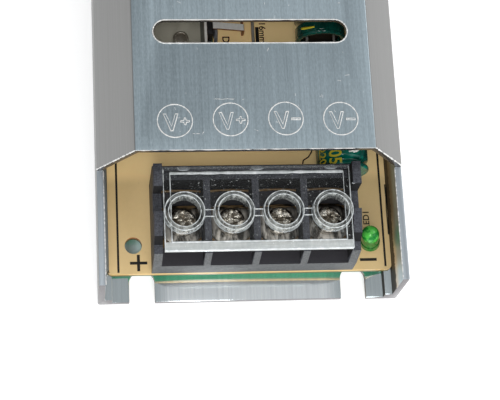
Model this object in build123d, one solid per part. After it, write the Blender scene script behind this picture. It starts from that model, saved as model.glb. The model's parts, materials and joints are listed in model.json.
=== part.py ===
from build123d import *
import os

# Slim switching power supply in a one-piece extruded aluminium case, in millimetres
# X runs across the case, Y from the output end to the mains end, Z up from the table

# Extruded case
case_length = 190.0
case_width = 60.0
case_height = 26.4
top_width = 46.0
wall_height = 15.6
wall = 1.3
outer_corner_radius = 0.5
inner_corner_radius = 0.3
end_cut_back = 23.0
end_wall_height = 14.9
rail_width = 1.5
rail_height = 2.16

# Openings in the case
mount_slot_width = 5.05
mount_slot_depth = 6.5
mount_slot_spacing = 42.4
vent_length = 37.9
vent_width = 4.9
vent_from_end = 47.2

# Circuit board
board_thickness = 1.6
board_side_gap = 0.35
board_offset = 0.25
board_end_gap = 4.8
board_corner_radius = 0.9
board_hole_radius = 1.7
board_hole_from_side = 5.45
board_hole_from_edge = 5.65
pin_hole_radius = 0.85
cutout_gap = 0.4

# Terminal blocks
pitch = 9.5
output_ways = 4
input_ways = 3
output_block_offset = 0.6
block_depth = 17.2
barrier_thickness = 1.35
block_end_extra = 1.0
floor_height = 5.3
block_wall_height = 11.3
rear_wall_thickness = 1.6
front_wall_slope = 0.8
saddle_height = 11.9
latch_ear_height = 14.8
latch_ear_front = 3.7
latch_ear_back = 8.3
rear_ear_height = 16.7
rear_ear_depth = 4.2
ear_bevel = 1.1
screw_row = 7.8
shaft_well_radius = 2.0

# Contact plates with one solder pin each
contact_width = 7.6
contact_front = 3.6
contact_back = 11.5
contact_thickness = 1.2
pin_width = 1.2
pin_thickness = 0.8
pin_row = 10.8
pin_below_board = 1.0
slot_gap = 0.05

# Clamp washers and terminal screws
clamp_size = 7.4
clamp_thickness = 1.2
clamp_corner = 1.2
clamp_groove_depth = 0.25
clamp_groove_width = 0.7
thread_radius = 1.5
thread_gap = 0.05
screw_length = 6.4
head_radius = 2.7
head_height = 2.4
head_edge = 1.2
drive_width = 0.85
drive_length = 4.2
drive_depth = 1.2

# Clear covers over the terminals
cover_side_gap = 0.2
cover_front_gap = 0.55
cover_lift = 1.8
cover_thickness = 1.0
cover_rim_height = 0.35
cover_side_rim = 1.1
cover_rear_rim = 1.2
cover_front_rim = 1.6
ring_radius = 3.87
ring_bore_radius = 3.0
ring_height = 2.1
ring_rib_width = 1.35
ring_rib_height = 0.55
hinge_from_back = 1.6
hinge_pin_radius = 0.6
hinge_pin_length = 1.0
hinge_pin_gap = 0.05

# Power lamp
lamp_radius = 1.6
lamp_flange_radius = 1.95
lamp_flange_height = 1.0
lamp_height = 5.0
lamp_leg_size = 0.5
lamp_leg_spacing = 1.27
lamp_from_edge = 5.3
lamp_lean_left = 8.0
lamp_lean_back = 14.0
lamp_lift = 0.6

# Electrolytic capacitors lying on the board
small_can_radius = 5.2
small_can_length = 19.5
front_can_x = 19.1
front_can_start = 23.2
rear_can_x = 16.4
rear_can_start = 52.0
large_can_radius = 8.0
large_can_length = 28.0
large_can_x = 12.5
large_can_from_end = 44.5
can_edge = 0.8
can_groove_depth = 0.45
can_groove_from_end = 3.4
can_seal_inset = 1.4
can_seal_depth = 1.6
can_lead_radius = 0.28
can_lead_spacing = 5.6
can_lead_reach = 2.6
can_lead_bend = 0.9

# Power semiconductors, clamped down on heat blocks
package_width = 10.0
package_length = 9.2
package_height = 4.4
tab_length = 6.2
tab_thickness = 1.3
tab_hole_radius = 1.8
lead_width = 1.4
lead_thickness = 0.5
lead_pitch = 2.54
lead_level = 2.3
lead_reach = 6.5
lead_straight = 1.0
lead_foot = 1.0
lead_bend = 0.5
package_edge_x = -5.6
package_spacing = 13.6
block_above_board = 1.0
block_margin = 1.4
pad_thickness = 0.3
rectifier_screw_from_end = 51.9
switch_screw_from_end = 58.5
clamp_screw_from_edge = 6.8
clamp_plate_thickness = 1.3
clamp_plate_set_back = 1.4
clamp_plate_edge = 0.7
clamp_screw_radius = 1.5
clamp_screw_head_radius = 2.7
clamp_screw_proud = 0.3
package_edge = 0.6

# Wound parts
room_gap = 0.7
winding_thickness = 1.0
winding_arc = 130.0
output_choke_radius = 4.8
output_choke_bore = 2.2
output_choke_height = 5.4
output_choke_x = 7.3
output_choke_from_end = 38.5
line_choke_radius = 6.6
line_choke_bore = 3.6
line_choke_height = 7.0
line_choke_x = -10.5
line_choke_from_end = 33.0
transformer_width = 32.0
transformer_depth = 25.0
transformer_leg = 4.0
transformer_core_height = 11.0
middle_leg_width = 9.0
bobbin_wall = 1.0
bobbin_flange = 1.2
coil_gap = 0.3

# Small parts standing or lying on the board
wire_radius = 0.35
line_capacitor_size = (17.5, 8.5, 14.0)
line_capacitor_x = 12.0
line_capacitor_from_end = 28.5
box_edge = 0.8
bridge_size = (14.5, 4.0, 10.0)
bridge_x = 12.5
bridge_from_end = 37.5
bridge_lift = 2.0
bridge_lead_pitch = 3.8
fuse_radius = 4.1
fuse_height = 8.0
fuse_from_side = 7.2
fuse_from_end = 40.4
disc_lift = 1.5
disc_edge = 0.9
leg_spread = 0.5
thermistor_radius = 4.5
thermistor_thickness = 4.0
thermistor_x = 0.0
thermistor_from_end = 41.5
disc_capacitor_radius = 3.6
disc_capacitor_thickness = 3.2
disc_capacitor_x = -10.0
transformer_gap = 2.0
chip_width = 6.4
chip_length = 9.6
chip_height = 3.3
chip_from_side = 8.0
chip_gap = 0.65
optocoupler_length = 4.6
optocoupler_x = 2.0
chip_lift = 0.5
chip_leg_pitch = 2.54
chip_leg_width = 0.8
chip_leg_thickness = 0.3
chip_leg_reach = 0.8
resistor_radius = 1.6
resistor_length = 8.0
resistor_y = -4.0
resistor_pitch = 4.4
resistor_lift = 0.5
resistor_wire_reach = 2.0

# Jumper wire
jumper_radius = 0.35
jumper_x = 3.05
jumper_start = 47.5
jumper_length = 14.0
jumper_lift = 0.9

# How far a cut runs past the face that it opens
past = 1.0

# Levels and planes worked out from the sizes above
board_bottom = wall + rail_height
board_top = board_bottom + board_thickness
board_width = case_width - 2 * (wall + board_side_gap)
room_height = case_height - wall - board_top
contact_top = floor_height + contact_thickness
clamp_top = contact_top + clamp_thickness
head_top = clamp_top + head_height
cover_bottom = block_wall_height + cover_lift
cover_top = cover_bottom + cover_thickness
hinge_height = cover_bottom + cover_thickness / 2
hinge_row = block_depth - hinge_from_back
half_length = case_length / 2
block_top = board_top + block_above_board
pad_top = block_top + pad_thickness
package_top = pad_top + package_height
plate_top = package_top + clamp_plate_thickness
clamp_screw_x = package_edge_x - clamp_screw_from_edge
before_transformer = -transformer_depth / 2 - transformer_gap
disc_capacitor_y = before_transformer - disc_capacitor_thickness / 2
optocoupler_y = before_transformer - optocoupler_length / 2
resistor_end = resistor_y + resistor_length / 2 + resistor_wire_reach + wire_radius
chip_x = chip_from_side - case_width / 2
chip_y = resistor_end + chip_gap + chip_length / 2


def front(distance):
    return -half_length + distance


def rear(distance):
    return half_length - distance


def block_width(ways):
    return ways * pitch + 2 * block_end_extra


def way_centres(ways):
    return [(i - (ways - 1) / 2) * pitch for i in range(ways)]


# The two clamp screws, one between each pair of packages
rectifier_screw_y = front(rectifier_screw_from_end)
switch_screw_y = rear(switch_screw_from_end)

# Each terminal block's own frame: X across, Y back from its front face, Z up from the board
output_place = Pos(output_block_offset, front(board_end_gap), board_top)
input_place = Pos(0, rear(board_end_gap), board_top) * Rot(0, 0, 180)


# A block of material between two corners
def slab(low, high):
    size = [b - a for a, b in zip(low, high)]
    return Pos(*low) * Box(*size, align=(Align.MIN, Align.MIN, Align.MIN))


# A closed outline in the YZ plane, extruded across X between two planes
def across(points, x_low, x_high):
    face = make_face(Polyline(*points, close=True))
    return Plane.YZ.offset(x_low) * extrude(face, x_high - x_low)


# A round wire along straight runs joined by bends
def wire(points, radius, bend):
    path = FilletPolyline(*points, radius=bend)
    return sweep(Plane(origin=path @ 0, z_dir=path % 0) * Circle(radius), path=path)


# A vertical round rod or hole between two levels
def upright(radius, low, high, x=0, y=0):
    rod = Cylinder(radius, high - low, align=(Align.CENTER, Align.CENTER, Align.MIN))
    return Pos(x, y, low) * rod


# Case section: one closed hollow profile with a rail along each wall
def case_section():
    half, half_top = case_width / 2, top_width / 2
    outline = Polyline(
        (-half, 0), (half, 0), (half, wall_height), (half_top, case_height),
        (-half_top, case_height), (-half, wall_height), close=True,
    )
    skin = make_face(outline)
    hollow = offset(skin, amount=-wall, kind=Kind.INTERSECTION)
    skin = fillet(skin.vertices(), outer_corner_radius)
    hollow = fillet(hollow.vertices(), inner_corner_radius)
    section = skin - hollow
    for side in (-1, 1):
        rail_x = side * (half - wall / 2 - rail_width / 2)
        section += Pos(rail_x, (wall / 2 + board_bottom) / 2) * Rectangle(
            rail_width + wall, board_bottom - wall / 2
        )
    return section


# Case: the profile cut to length, milled back over the terminals, slotted and drilled
def case():
    body = extrude(Plane.XZ * case_section(), half_length, both=True)
    slot = Pos(0, 0, -wall) * extrude(
        Pos(0, -mount_slot_depth) * SlotOverall(4 * mount_slot_depth, mount_slot_width, 90),
        3 * wall,
    )
    vent = extrude(SlotOverall(vent_length, vent_width), 3 * wall)
    for end in (-1, 1):
        y_end = end * half_length
        y_cut = end * (half_length - end_cut_back)
        low = (-case_width, min(y_end, y_cut), end_wall_height)
        high = (case_width, max(y_end, y_cut), case_height + wall)
        body -= slab(low, high)
        for side in (-1, 1):
            turn = Rot(0, 0, 0 if end < 0 else 180)
            body -= Pos(side * mount_slot_spacing / 2, y_end) * turn * slot
        body -= Pos(0, end * (half_length - vent_from_end), case_height - 2 * wall) * vent
    for y in (rectifier_screw_y, switch_screw_y):
        body -= Pos(clamp_screw_x, y) * countersink(thread_gap)
    return body


# The countersunk shape of a clamp screw, grown all round by a gap
def countersink(gap):
    cone = Cone(
        clamp_screw_head_radius + gap, clamp_screw_radius + gap, wall,
        align=(Align.CENTER, Align.CENTER, Align.MIN),
    )
    return cone + upright(clamp_screw_radius + gap, wall / 2, 2 * wall)


# The footprint of a pair of packages with their screw, from one level to another
def pair_footprint(screw_y, low, high, gap=0.0):
    width = tab_length + package_length + block_margin
    depth = package_spacing + package_width + 2 * block_margin
    return slab(
        (package_edge_x - width - gap, screw_y - depth / 2 - gap, low),
        (package_edge_x + gap, screw_y + depth / 2 + gap, high),
    )


def screw_hole(screw_y, low, high):
    return upright(clamp_screw_radius + thread_gap, low, high, clamp_screw_x, screw_y)


# Heat block on the case's floor, standing through the board, and the pad on top of it
def heat_block(screw_y):
    return pair_footprint(screw_y, wall, block_top) - screw_hole(screw_y, 0, block_top + past)


def insulating_pad(screw_y):
    return pair_footprint(screw_y, block_top, pad_top) - screw_hole(screw_y, 0, pad_top + past)


def package_centres(screw_y):
    return [screw_y - package_spacing / 2, screw_y + package_spacing / 2]


# Moulded body of a package, lying on the pad with its leads to the right
def package_bodies(screw_y):
    bodies = []
    for y in package_centres(screw_y):
        body = slab(
            (package_edge_x - package_length, y - package_width / 2, pad_top),
            (package_edge_x, y + package_width / 2, package_top),
        )
        bodies.append(chamfer(body.edges().group_by(Axis.Z)[-1], package_edge))
    return bodies


# Metal tab and three bent leads of each package
def package_frames(screw_y):
    pieces = []
    path = FilletPolyline(
        (package_edge_x, pad_top + lead_level),
        (package_edge_x + lead_straight, pad_top + lead_level),
        (package_edge_x + lead_reach, board_top + lead_foot),
        (package_edge_x + lead_reach, board_top),
        radius=lead_bend,
    )
    strip = extrude(Plane.XZ * trace(path, lead_thickness), lead_width / 2, both=True)
    for y in package_centres(screw_y):
        tab_end = package_edge_x - package_length
        tab = slab(
            (tab_end - tab_length, y - package_width / 2, pad_top),
            (tab_end, y + package_width / 2, pad_top + tab_thickness),
        )
        hole = upright(tab_hole_radius, 0, package_top, tab_end - tab_length / 2, y)
        pieces.append(tab - hole)
        pieces += [Pos(0, y + i * lead_pitch) * strip for i in (-1, 0, 1)]
    return pieces


# Clamp plate across both packages, with rounded long edges
def clamp_plate(screw_y):
    x_low = package_edge_x - package_length - tab_length
    x_high = package_edge_x - clamp_plate_set_back
    depth = package_spacing + package_width
    plate = slab(
        (x_low, screw_y - depth / 2, package_top), (x_high, screw_y + depth / 2, plate_top)
    )
    long_edges = plate.edges().filter_by(Axis.Y).group_by(Axis.Z)[-1]
    plate = fillet(long_edges, clamp_plate_edge)
    return plate - screw_hole(screw_y, package_top - past, plate_top + past)


# Clamp screw, put in from under the case with its head flush
def clamp_screw(screw_y):
    screw = countersink(0) + upright(clamp_screw_radius, wall, plate_top + clamp_screw_proud)
    return Pos(clamp_screw_x, screw_y) * screw


# Circuit board: rounded plate with its fixing hole, pin holes and the heat block cut-outs
def circuit_board():
    length = case_length - 2 * board_end_gap
    plate = extrude(RectangleRounded(board_width, length, board_corner_radius), board_thickness)
    board = Pos(board_offset, 0, board_bottom) * plate
    below, above = board_bottom - past, board_top + past
    hole_x = case_width / 2 - wall - board_hole_from_side
    hole_y = half_length - board_end_gap - board_hole_from_edge
    for sign in (-1, 1):
        board -= upright(board_hole_radius, below, above, sign * hole_x, sign * hole_y)
    for place, ways in ((output_place, output_ways), (input_place, input_ways)):
        for x in way_centres(ways):
            spot = place * Pos(x, pin_row, 0)
            board -= spot * upright(pin_hole_radius, -2 * board_thickness, board_thickness)
    for y in (rectifier_screw_y, switch_screw_y):
        board -= pair_footprint(y, below, above, cutout_gap)
    return board


# Side outline of an end wall with its latch ear and its hinge ear
def end_wall_outline():
    ear_front = block_depth - rear_ear_depth
    return [
        (0, 0), (block_depth, 0), (block_depth, rear_ear_height), (ear_front, rear_ear_height),
        (ear_front - ear_bevel, saddle_height), (latch_ear_back, saddle_height),
        (latch_ear_back, latch_ear_height), (latch_ear_front, latch_ear_height - ear_bevel),
        (latch_ear_front - ear_bevel, block_wall_height), (front_wall_slope, block_wall_height),
        (0, floor_height),
    ]


# Terminal block: one moulding with a floor, rear wall, barriers and shaped end walls
def terminal_body(ways):
    half = block_width(ways) / 2
    inner = ways * pitch / 2 - barrier_thickness / 2
    body = slab((-half, 0, 0), (half, block_depth, floor_height))
    body += slab((-half, block_depth - rear_wall_thickness, 0), (half, block_depth, block_wall_height))
    barrier = [
        (0, 0), (block_depth, 0), (block_depth, block_wall_height),
        (front_wall_slope, block_wall_height), (0, floor_height),
    ]
    for i in range(1, ways):
        x = (i - ways / 2) * pitch
        body += across(barrier, x - barrier_thickness / 2, x + barrier_thickness / 2)
    body += across(end_wall_outline(), -half, -inner)
    body += across(end_wall_outline(), inner, half)
    for x in way_centres(ways):
        body -= upright(shaft_well_radius, -past, floor_height + past, x, screw_row)
        half_pin_x, half_pin_y = pin_width / 2 + slot_gap, pin_thickness / 2 + slot_gap
        body -= slab(
            (x - half_pin_x, pin_row - half_pin_y, -past),
            (x + half_pin_x, pin_row + half_pin_y, floor_height + past),
        )
    socket = Cylinder(hinge_pin_radius + hinge_pin_gap, 2 * (hinge_pin_length + hinge_pin_gap))
    for side in (-1, 1):
        body -= Pos(side * inner, hinge_row, hinge_height) * Rot(0, 90, 0) * socket
    return body


# Contact plates: flat on the floor of each pocket, each with a pin through to the board
def contacts(ways):
    plates = []
    for x in way_centres(ways):
        plate = slab(
            (x - contact_width / 2, contact_front, floor_height),
            (x + contact_width / 2, contact_back, contact_top),
        )
        plate += slab(
            (x - pin_width / 2, pin_row - pin_thickness / 2, -board_thickness - pin_below_board),
            (x + pin_width / 2, pin_row + pin_thickness / 2, contact_top),
        )
        plates.append(plate - upright(thread_radius, 0, contact_top + past, x, screw_row))
    return plates


# Clamp washer: square with cut corners, a screw hole and two grip grooves underneath
def clamp_washer(x):
    outline = chamfer(Rectangle(clamp_size, clamp_size).vertices(), clamp_corner)
    washer = Pos(0, 0, contact_top) * extrude(outline, clamp_thickness)
    washer -= upright(thread_radius + thread_gap / 2, 0, clamp_top + past)
    for side in (-1, 1):
        y = side * (clamp_size / 2 + thread_radius) / 2
        washer -= Pos(0, y, contact_top) * Box(clamp_size, clamp_groove_width, 2 * clamp_groove_depth)
    return Pos(x, screw_row) * washer


# Terminal screw: domed head with a cross and a slot, and a plain shaft
def terminal_screw(x):
    head = upright(head_radius, clamp_top, head_top)
    head = fillet(head.edges().group_by(Axis.Z)[-1], head_edge)
    for length in (drive_length, 2 * head_radius):
        head -= Pos(0, 0, head_top) * Box(length, drive_width, 2 * drive_depth)
    head -= Pos(0, 0, head_top) * Box(drive_width, drive_length, 2 * drive_depth)
    shaft = upright(thread_radius - thread_gap, clamp_top - screw_length, clamp_top)
    return Pos(x, screw_row) * (head + shaft)


# Clear cover: rimmed plate with a raised ring over each screw and a hinge pin at each side
def terminal_cover(ways):
    half = ways * pitch / 2 - barrier_thickness / 2 - cover_side_gap
    rim_top = cover_top + cover_rim_height
    cover = slab((-half, cover_front_gap, cover_bottom), (half, block_depth, cover_top))
    rim = slab((-half, cover_front_gap, cover_top), (half, block_depth, rim_top))
    rim -= slab(
        (-half + cover_side_rim, cover_front_gap + cover_front_rim, cover_bottom),
        (half - cover_side_rim, block_depth - cover_rear_rim, rim_top + past),
    )
    cover += rim
    centres = way_centres(ways)
    cover += slab(
        (centres[0], screw_row - ring_rib_width / 2, cover_bottom),
        (centres[-1], screw_row + ring_rib_width / 2, cover_top + ring_rib_height),
    )
    for x in centres:
        cover += upright(ring_radius, cover_bottom, cover_top + ring_height, x, screw_row)
    for x in centres:
        cover -= upright(ring_bore_radius, cover_bottom - past, rim_top + ring_height, x, screw_row)
    pin = Cylinder(hinge_pin_radius, 2 * (half + cover_side_gap + hinge_pin_length))
    return cover + Pos(0, hinge_row, hinge_height) * Rot(0, 90, 0) * pin


# Power lamp: flanged dome on two square legs, leaning to the left and back
def power_lamp():
    dome = upright(lamp_flange_radius, 0, lamp_flange_height)
    dome += upright(lamp_radius, 0, lamp_height - lamp_radius)
    dome += Pos(0, 0, lamp_height - lamp_radius) * Sphere(lamp_radius)
    block_end = output_block_offset + block_width(output_ways) / 2
    x = (block_end + board_width / 2) / 2
    spot = Pos(x, front(board_end_gap + lamp_from_edge), board_top)
    lean = Rot(-lamp_lean_back, -lamp_lean_left, 0)
    return spot, spot * Pos(0, 0, lamp_lift) * lean * dome


def lamp_legs():
    spot, lamp = power_lamp()
    legs = []
    for side in (-1, 1):
        x = side * lamp_leg_spacing
        leg = slab(
            (x - lamp_leg_size / 2, -lamp_leg_size / 2, 0),
            (x + lamp_leg_size / 2, lamp_leg_size / 2, lamp_flange_height),
        )
        legs.append(spot * leg - lamp)
    return legs


# Electrolytic can lying along Y: crimped can, open at its seal end, from y = 0 to its length
def can(radius, length):
    body = Cylinder(radius, length, align=(Align.CENTER, Align.CENTER, Align.MIN))
    body = fillet(body.edges().filter_by(GeomType.CIRCLE), can_edge)
    groove_face = Pos(radius + can_edge, can_groove_from_end) * Circle(can_edge + can_groove_depth)
    body -= revolve(Plane.XZ * groove_face, Axis.Z)
    body -= upright(radius - can_edge, -past, can_seal_inset + can_seal_depth)
    return body


def can_seal(radius):
    return upright(radius - can_edge, can_seal_inset, can_seal_inset + can_seal_depth)


# A can turned to lie on the board, with its seal end at one side
def lie(shape, radius, x, y, seal_to_rear):
    turn = Rot(90, 0, 0) if seal_to_rear else Rot(-90, 0, 0)
    return Pos(x, y, board_top + radius) * turn * shape


def can_lead(radius, side, down):
    x = side * can_lead_spacing / 2
    points = [(x, 0, can_seal_inset), (x, 0, -can_lead_reach), (x, down * radius, -can_lead_reach)]
    return wire(points, can_lead_radius, can_lead_bend)


# The three cans: radius, length, place across, end with the seal and the way it faces
def can_places():
    front_seal = front(front_can_start + small_can_length)
    rear_seal = front(rear_can_start)
    large_seal = rear(large_can_from_end)
    return [
        (small_can_radius, small_can_length, front_can_x, front_seal, True),
        (small_can_radius, small_can_length, rear_can_x, rear_seal, False),
        (large_can_radius, large_can_length, large_can_x, large_seal, True),
    ]


def laid_can(index):
    radius, length, x, y, seal_to_rear = can_places()[index]
    return lie(can(radius, length), radius, x, y, seal_to_rear)


def laid_seals():
    return [lie(can_seal(r), r, x, y, s) for r, _, x, y, s in can_places()]


def laid_leads():
    leads = []
    for radius, _, x, y, seal_to_rear in can_places():
        down = -1 if seal_to_rear else 1
        leads += [lie(can_lead(radius, side, down), radius, x, y, seal_to_rear) for side in (-1, 1)]
    return leads


# Ring core lying flat on its winding, and a winding wrapped over part of it
def ring_core(radius, bore, height):
    core = upright(radius, 0, height) - upright(bore, -past, height + past)
    return Pos(0, 0, winding_thickness) * core


def ring_windings(radius, bore, height):
    outer = Rectangle(radius - bore + 2 * winding_thickness, height + 2 * winding_thickness)
    outer = fillet(outer.vertices(), winding_thickness)
    section = Pos((radius + bore) / 2, 0) * (outer - Rectangle(radius - bore, height))
    section = Plane.XZ * (Pos(0, height / 2 + winding_thickness) * section)
    half = revolve(section, Axis.Z, winding_arc)
    start = (180 - winding_arc) / 2 - 90
    return [Rot(0, 0, start + turn) * half for turn in (0, 180)]


output_choke = (output_choke_radius, output_choke_bore, output_choke_height)
output_choke_place = Pos(output_choke_x, front(output_choke_from_end), board_top)
line_choke = (line_choke_radius, line_choke_bore, line_choke_height)
line_choke_place = Pos(line_choke_x, rear(line_choke_from_end), board_top)


# Transformer: two E-shaped core halves, a flanged bobbin standing on the board and its coil
def transformer_core():
    half_depth = transformer_depth / 2
    half_leg = middle_leg_width / 2
    window_end = half_depth - transformer_leg
    window_side = transformer_width / 2 - transformer_leg
    level = board_top + room_height / 2
    low, high = level - transformer_core_height / 2, level + transformer_core_height / 2
    halves = []
    for sign in (-1, 1):
        near, far = sorted((0, sign * half_depth))
        piece = slab((-transformer_width / 2, near, low), (transformer_width / 2, far, high))
        near, far = sorted((0, sign * window_end))
        for side in (-1, 1):
            left, right = sorted((side * half_leg, side * window_side))
            piece -= slab((left, near, low - past), (right, far, high + past))
        halves.append(piece)
    return halves


def bobbin_tube(x_grow, z_grow):
    level = board_top + room_height / 2
    width = middle_leg_width + 2 * x_grow
    height = transformer_core_height + 2 * z_grow
    return Pos(0, 0, level) * Box(width, transformer_depth - 2 * transformer_leg, height)


def transformer_bobbin():
    half_width = transformer_width / 2 - transformer_leg - coil_gap
    window_end = transformer_depth / 2 - transformer_leg
    top = board_top + room_height - room_gap
    bobbin = bobbin_tube(bobbin_wall, bobbin_wall)
    for sign in (-1, 1):
        near, far = sorted((sign * window_end, sign * (window_end - bobbin_flange)))
        bobbin += slab((-half_width, near, board_top), (half_width, far, top))
    return bobbin - bobbin_tube(coil_gap / 2, coil_gap / 2)


def transformer_coil():
    half_width = transformer_width / 2 - transformer_leg - 2 * coil_gap
    half_depth = transformer_depth / 2 - transformer_leg - bobbin_flange
    top = board_top + room_height - room_gap - coil_gap
    coil = slab((-half_width, -half_depth, board_top + room_gap), (half_width, half_depth, top))
    coil = fillet(coil.edges().filter_by(Axis.Y), 2 * bobbin_wall)
    return coil - bobbin_tube(bobbin_wall, bobbin_wall)


# Boxed capacitor, standing on the board
def boxed(size, x, y, lift=0.0):
    width, depth, height = size
    box = slab((-width / 2, -depth / 2, 0), (width / 2, depth / 2, height))
    box = fillet(box.edges().filter_by(Axis.Z), box_edge)
    return Pos(x, y, board_top + lift) * box


def line_capacitor():
    return boxed(line_capacitor_size, line_capacitor_x, rear(line_capacitor_from_end))


def bridge_rectifier():
    return boxed(bridge_size, bridge_x, rear(bridge_from_end), bridge_lift)


def fuse():
    can_body = upright(fuse_radius, 0, fuse_height)
    can_body = fillet(can_body.edges().group_by(Axis.Z)[-1], box_edge)
    return Pos(fuse_from_side - case_width / 2, rear(fuse_from_end), board_top) * can_body


# Dipped disc standing on edge on two wires
def standing_disc(radius, thickness, x, y):
    disc = fillet(Cylinder(radius, thickness).edges().filter_by(GeomType.CIRCLE), disc_edge)
    return Pos(x, y, board_top + disc_lift + radius) * Rot(90, 0, 0) * disc


def thermistor():
    y = rear(thermistor_from_end)
    return standing_disc(thermistor_radius, thermistor_thickness, thermistor_x, y)


def disc_capacitor():
    radius, thickness = disc_capacitor_radius, disc_capacitor_thickness
    return standing_disc(radius, thickness, disc_capacitor_x, disc_capacitor_y)


# Chip body with a bevelled top, and its bent legs on both sides
def chip_body(length, x, y):
    body = slab((-chip_width / 2, -length / 2, 0), (chip_width / 2, length / 2, chip_height))
    body = chamfer(body.edges().group_by(Axis.Z)[-1], chip_lift)
    return Pos(x, y, board_top + chip_lift) * body


def chip_legs(count, x, y):
    level = board_top + chip_lift + chip_height / 2
    legs = []
    for side in (-1, 1):
        near, far = side * chip_width / 2, side * (chip_width / 2 + chip_leg_reach)
        path = Polyline((near, level), (far, level), (far, board_top))
        leg = extrude(Plane.XZ * trace(path, chip_leg_thickness), chip_leg_width / 2, both=True)
        for i in range(count):
            legs.append(Pos(x, y + (i - (count - 1) / 2) * chip_leg_pitch) * leg)
    return legs


# Power resistors lying along the transformer, with their wires bent down to the board
def resistor_places():
    nearest = transformer_width / 2 + transformer_gap + resistor_radius
    return [side * x for side in (-1, 1) for x in (nearest, nearest + resistor_pitch)]


def resistors():
    body = Cylinder(resistor_radius, resistor_length)
    body = Rot(90, 0, 0) * fillet(body.edges().filter_by(GeomType.CIRCLE), resistor_lift)
    level = board_top + resistor_lift + resistor_radius
    return [Pos(x, resistor_y, level) * body for x in resistor_places()]


def resistor_wires():
    level = board_top + resistor_lift + resistor_radius
    start = resistor_length / 2
    end = start + resistor_wire_reach
    wires = []
    for x in resistor_places():
        for side in (-1, 1):
            points = [(x, side * start, level), (x, side * end, level), (x, side * end, board_top)]
            wires.append(Pos(0, resistor_y) * wire(points, wire_radius, 2 * wire_radius))
    return wires


# Short straight legs under the standing parts
def standing_legs():
    legs = []
    pairs = [
        (thermistor(), thermistor_x, rear(thermistor_from_end), thermistor_radius),
        (disc_capacitor(), disc_capacitor_x, disc_capacitor_y, disc_capacitor_radius),
    ]
    for disc, x, y, radius in pairs:
        middle = board_top + disc_lift + radius
        for side in (-1, 1):
            leg_x = x + side * radius * leg_spread
            leg = upright(wire_radius, board_top, middle, leg_x, y) - disc
            legs.append(leg)
    for i in range(4):
        x = bridge_x + (i - 1.5) * bridge_lead_pitch
        legs.append(upright(wire_radius, board_top, board_top + bridge_lift, x, rear(bridge_from_end)))
    return legs


# Jumper: a staple of tinned wire along the board
def jumper_wire():
    start = front(jumper_start)
    end = start + jumper_length
    level = board_top + jumper_lift
    points = [
        (jumper_x, start, board_top), (jumper_x, start, level),
        (jumper_x, end, level), (jumper_x, end, board_top),
    ]
    return wire(points, jumper_radius, 1.5 * jumper_radius)


# Every separate piece, by the name of its node
nodes = {
    "case": case(),
    "circuit_board": circuit_board(),
    "power_lamp": power_lamp()[1],
    "lamp_legs": lamp_legs(),
    "front_output_capacitor": laid_can(0),
    "rear_output_capacitor": laid_can(1),
    "bulk_capacitor": laid_can(2),
    "capacitor_seals": laid_seals(),
    "capacitor_leads": laid_leads(),
    "rectifier_heat_block": heat_block(rectifier_screw_y),
    "rectifier_pad": insulating_pad(rectifier_screw_y),
    "rectifier_bodies": package_bodies(rectifier_screw_y),
    "rectifier_frames": package_frames(rectifier_screw_y),
    "rectifier_clamp_plate": clamp_plate(rectifier_screw_y),
    "rectifier_clamp_screw": clamp_screw(rectifier_screw_y),
    "switch_heat_block": heat_block(switch_screw_y),
    "switch_pad": insulating_pad(switch_screw_y),
    "switch_bodies": package_bodies(switch_screw_y),
    "switch_frames": package_frames(switch_screw_y),
    "switch_clamp_plate": clamp_plate(switch_screw_y),
    "switch_clamp_screw": clamp_screw(switch_screw_y),
    "output_choke_core": output_choke_place * ring_core(*output_choke),
    "output_choke_windings": [output_choke_place * w for w in ring_windings(*output_choke)],
    "line_choke_core": line_choke_place * ring_core(*line_choke),
    "line_choke_windings": [line_choke_place * w for w in ring_windings(*line_choke)],
    "transformer_core": transformer_core(),
    "transformer_bobbin": transformer_bobbin(),
    "transformer_coil": transformer_coil(),
    "line_capacitor": line_capacitor(),
    "bridge_rectifier": bridge_rectifier(),
    "fuse": fuse(),
    "thermistor": thermistor(),
    "disc_capacitor": disc_capacitor(),
    "control_chip": chip_body(chip_length, chip_x, chip_y),
    "optocoupler": chip_body(optocoupler_length, optocoupler_x, optocoupler_y),
    "chip_legs": chip_legs(4, chip_x, chip_y) + chip_legs(2, optocoupler_x, optocoupler_y),
    "power_resistors": resistors(),
    "component_wires": resistor_wires() + standing_legs(),
    "jumper_wire": jumper_wire(),
}
for name, place, ways in (
    ("output", output_place, output_ways),
    ("input", input_place, input_ways),
):
    nodes[name + "_terminal_body"] = place * terminal_body(ways)
    nodes[name + "_cover"] = place * terminal_cover(ways)
    nodes[name + "_contacts"] = [place * plate for plate in contacts(ways)]
    for number, x in enumerate(way_centres(ways), 1):
        nodes[f"{name}_clamp_{number}"] = place * clamp_washer(x)
        nodes[f"{name}_screw_{number}"] = place * terminal_screw(x)

os.makedirs("parts", exist_ok=True)
for name, piece in nodes.items():
    if isinstance(piece, list):
        piece = Compound([solid for item in piece for solid in item.solids()])
    export_step(piece, f"parts/{name}.step")
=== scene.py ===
import json
import math
import random

import bmesh
import bpy
from mathutils import Matrix, Vector
from mathutils import noise as field

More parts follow.
